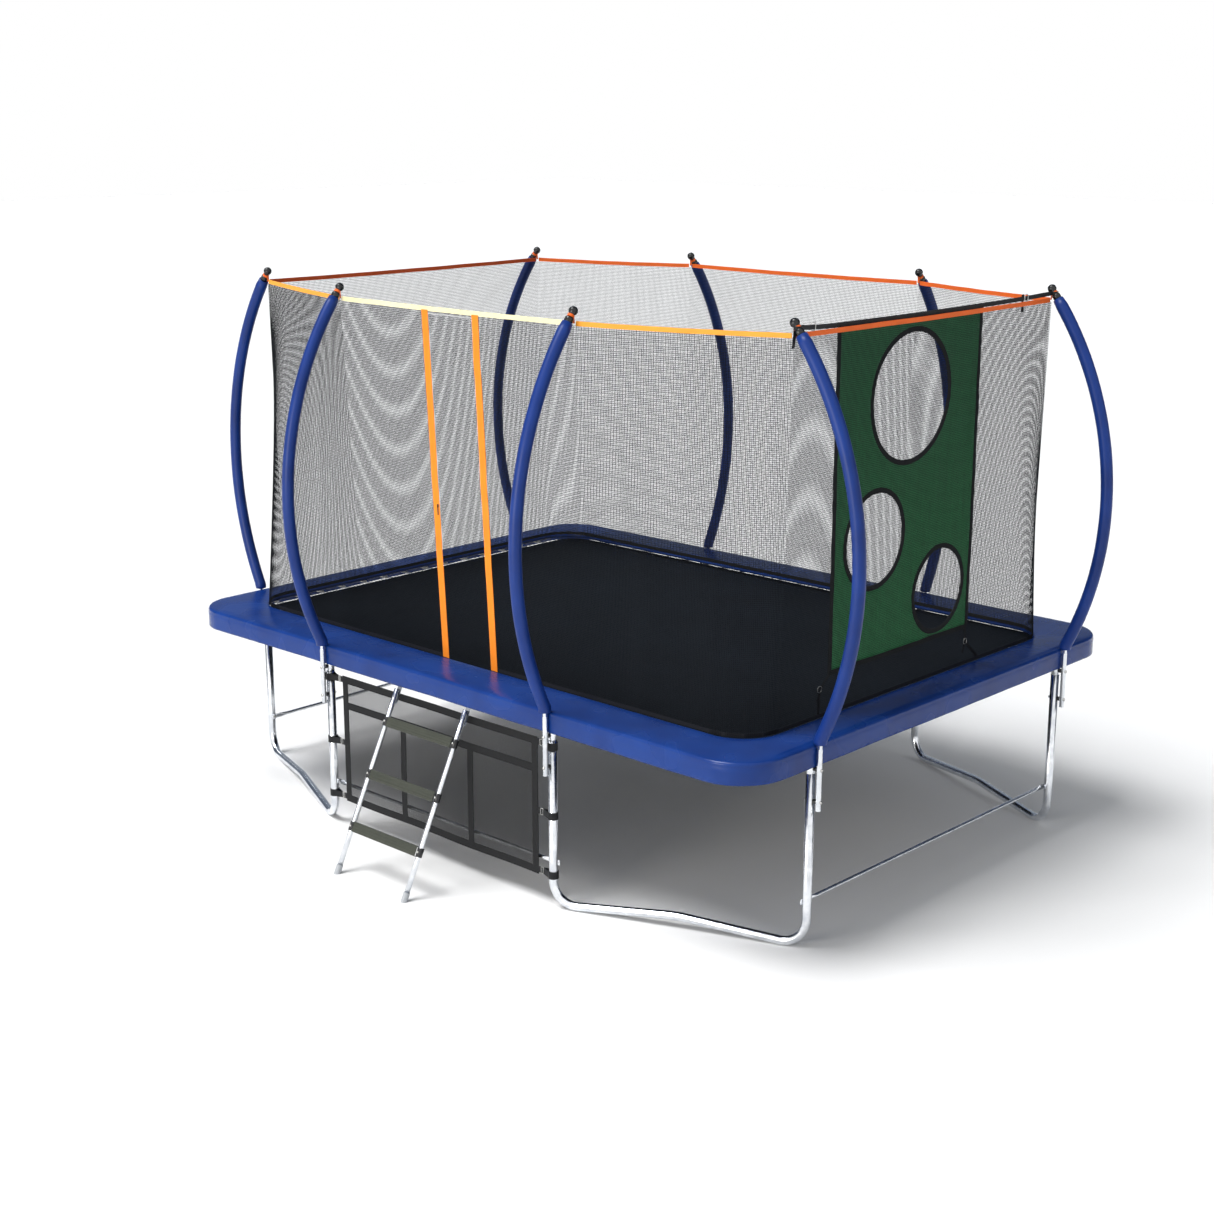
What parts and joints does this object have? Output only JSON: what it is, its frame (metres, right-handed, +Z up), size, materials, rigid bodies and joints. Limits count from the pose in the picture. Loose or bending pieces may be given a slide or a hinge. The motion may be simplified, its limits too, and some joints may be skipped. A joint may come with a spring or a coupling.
{
  "type": "trampoline",
  "caption": "Oblong garden trampoline with padded edge, bowed net poles, safety net with door, ball target, storage panel and ladder.",
  "frame": {"origin": "on the floor under the middle of the whole model's box", "axes": "+X along the long side towards the ball target, +Y from the door and ladder side to the far side, +Z up"},
  "size_m": [4.4032, 3.6642, 2.798],
  "materials": {
    "frame_tube": "galvanised satin",
    "pole_tube": "galvanised satin",
    "zinc_hardware": "zinc plated",
    "blue_foam": "smooth foam sleeve",
    "blue_pad": "glossy coated fabric",
    "black_plastic": "gloss",
    "black_mesh": "knitted mesh",
    "mat_cloth": "woven",
    "black_webbing": "woven",
    "orange_webbing": "woven",
    "green_cloth": "woven",
    "olive_metal": "powder coated satin"
  },
  "bodies": {
    "frame": {"ball_target": "green_cloth", "brace_bolts": "zinc_hardware", "door_strips": "orange_webbing", "enclosure_net": "black_mesh", "foam_sleeve_back_left": "blue_foam", "foam_sleeve_back_right": "blue_foam", "foam_sleeve_front_left": "blue_foam", "foam_sleeve_front_right": "blue_foam", "foam_sleeve_left_back": "blue_foam", "foam_sleeve_left_front": "blue_foam", "foam_sleeve_right_back": "blue_foam", "foam_sleeve_right_front": "blue_foam", "frame_corner_back_left": "frame_tube", "frame_corner_back_right": "frame_tube", "frame_corner_front_left": "frame_tube", "frame_corner_front_right": "frame_tube", "frame_rail_back": "frame_tube", "frame_rail_front": "frame_tube", "frame_rail_left": "frame_tube", "frame_rail_right": "frame_tube", "leg_frame_back_left": "frame_tube", "leg_frame_back_right": "frame_tube", "leg_frame_front_left": "frame_tube", "leg_frame_front_right": "frame_tube", "lower_brace_back": "frame_tube", "lower_brace_front": "frame_tube", "lower_brace_left": "frame_tube", "lower_brace_right": "frame_tube", "net_top_tape": "orange_webbing", "pole_bolts": "zinc_hardware", "pole_caps": "black_plastic", "pole_lower_tubes": "pole_tube", "pole_nuts": "zinc_hardware", "pole_spacers": "black_plastic", "pole_upper_tubes": "pole_tube", "safety_pad": "blue_pad", "springs": "zinc_hardware", "storage_panel": "black_mesh", "storage_straps": "black_webbing", "target_strap": "black_webbing", "target_ties": "black_webbing"},
    "mat": {"mat": "mat_cloth", "mat_webbing": "black_webbing", "mat_v_rings": "zinc_hardware"},
    "ladder": {"ladder_rails": "frame_tube", "ladder_hooks": "zinc_hardware", "ladder_clamps": "black_plastic", "ladder_bolts": "zinc_hardware", "ladder_treads": "olive_metal", "ladder_feet": "black_plastic"},
    "door": {"door_flap": "black_mesh"},
    "slider": {"zip_slider": "black_plastic"}
  },
  "joints": [
    {"name": "mat_bounce", "type": "slide", "parent": "frame", "child": "mat", "axis": [0, 0, 1], "range_m": [-0.35, 0], "stiffness_N_per_m": 6000, "springref_m": 0.03, "deforming": ["springs"]},
    {"name": "ladder_swing", "type": "hinge", "parent": "frame", "child": "ladder", "pos_m": [0, -1.37051, 0.928], "axis": [-1, 0, 0], "range_deg": [0, 15]},
    {"name": "door_swing", "type": "hinge", "parent": "frame", "child": "door", "pos_m": [0.1524, -1.13351, 0.9753], "axis": [0, -0.0517, 0.9987], "range_deg": [0, 95]},
    {"name": "zip_slide", "type": "slide", "parent": "frame", "child": "slider", "axis": [0, -0.0517, 0.9987], "range_m": [-0.7, 0.9]}
  ]
}
